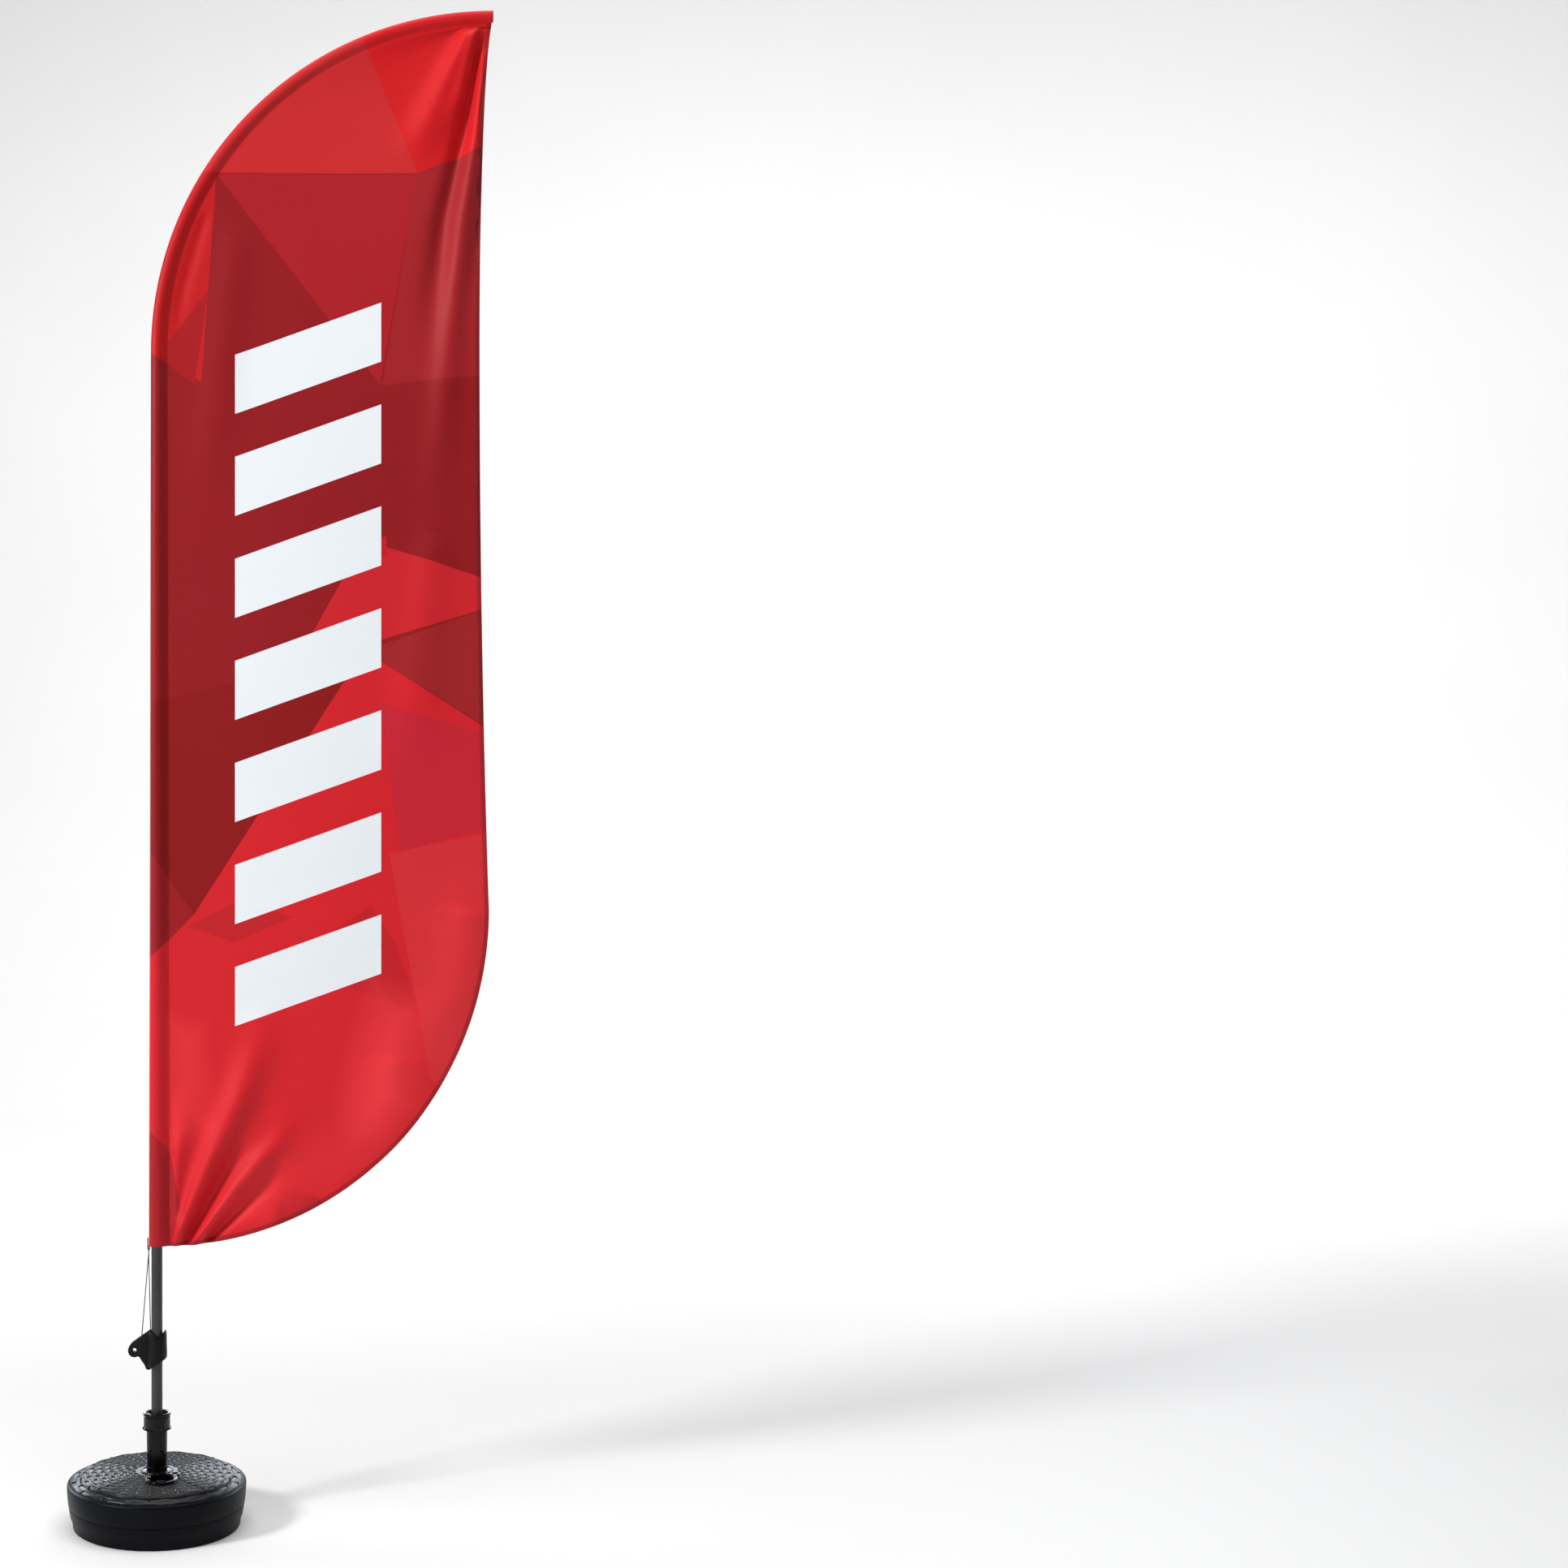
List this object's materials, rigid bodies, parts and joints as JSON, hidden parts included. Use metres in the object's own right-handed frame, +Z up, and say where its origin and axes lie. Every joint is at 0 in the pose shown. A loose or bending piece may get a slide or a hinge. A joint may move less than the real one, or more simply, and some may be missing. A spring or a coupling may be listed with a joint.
{
  "type": "feather flag with pole",
  "caption": "Feather flag on a bowed mast, clamped upright in a round woven-top water-filled base, with a tension cord and sliding clip.",
  "frame": {"origin": "centre of the tank's underside, on the mast's axis", "axes": "+Z up along the mast, +X the way the flag flies, the flag lying in the XZ plane"},
  "size_m": [1.0724, 0.45, 3.8134],
  "materials": {
    "tank_black": "satin moulded, fine grain",
    "gloss_black": "glossy moulded",
    "water": "clear water, out of sight in the tank",
    "seal_rubber": "soft matt",
    "anodised_tube": "dark grey anodised, satin",
    "glass_fibre": "satin resin over glass fibre",
    "flag_cloth": "printed knitted polyester, slight sheen",
    "sleeve_cloth": "doubled polyester, slight sheen",
    "hem_cloth": "folded and stitched polyester",
    "elastic_cord": "braided sleeve over a rubber core",
    "clip_rubber": "matt moulded rubber",
    "zinc_steel": "zinc plated"
  },
  "bodies": {
    "base": {"base_tank": "tank_black", "water_fill": "water", "stem_ring": "tank_black", "stem_tube": "gloss_black"},
    "cap": {"filler_cap": "tank_black", "filler_seal": "seal_rubber"},
    "collet": {"collet": "gloss_black"},
    "collar": {"clamp_collar": "gloss_black"},
    "foot": {"swivel_foot": "gloss_black"},
    "mast": {"mast_lower": "anodised_tube", "mast_middle": "anodised_tube", "mast_upper": "glass_fibre", "mast_bow": "glass_fibre", "mast_tip": "glass_fibre", "stop_ring_lower": "seal_rubber", "stop_ring_middle": "seal_rubber", "stop_ring_upper": "seal_rubber", "stop_ring_bow": "seal_rubber", "tip_cap": "seal_rubber", "flag_panel": "flag_cloth", "edge_hem": "hem_cloth", "flag_sleeve": "sleeve_cloth", "sleeve_cuff": "sleeve_cloth", "tip_pocket": "sleeve_cloth", "cord_tab": "hem_cloth", "tension_cord": "elastic_cord"},
    "clip": {"clip_band": "clip_rubber", "clip_eye": "clip_rubber", "clip_screw": "zinc_steel", "clip_nut": "zinc_steel", "cord_knot": "elastic_cord"}
  },
  "joints": [
    {"name": "cap_lift", "type": "slide", "parent": "base", "child": "cap", "axis": [0, 0, 1], "range_m": [0, 0.03]},
    {"name": "collet_travel", "type": "slide", "parent": "base", "child": "collet", "axis": [0, 0, 1], "range_m": [0, 0.0061]},
    {"name": "collar_turn", "type": "hinge", "parent": "collet", "child": "collar", "pos_m": [0, 0, 0.262], "axis": [0, 0, 1], "range_deg": [0, 540]},
    {"name": "mast_lift", "type": "slide", "parent": "base", "child": "foot", "axis": [0, 0, 1], "range_m": [0, 0.24]},
    {"name": "mast_turn", "type": "hinge", "parent": "foot", "child": "mast", "pos_m": [0, 0, 0.02], "axis": [0, 0, 1], "continuous": true},
    {"name": "clip_slide", "type": "slide", "parent": "mast", "child": "clip", "axis": [0, 0, 1], "range_m": [-0.04, 0.12], "deforming": ["tension_cord"]}
  ],
  "couplings": [
    {"joint": "collet_travel", "follows": "collar_turn", "m_per_rad": 0.00063662}
  ]
}
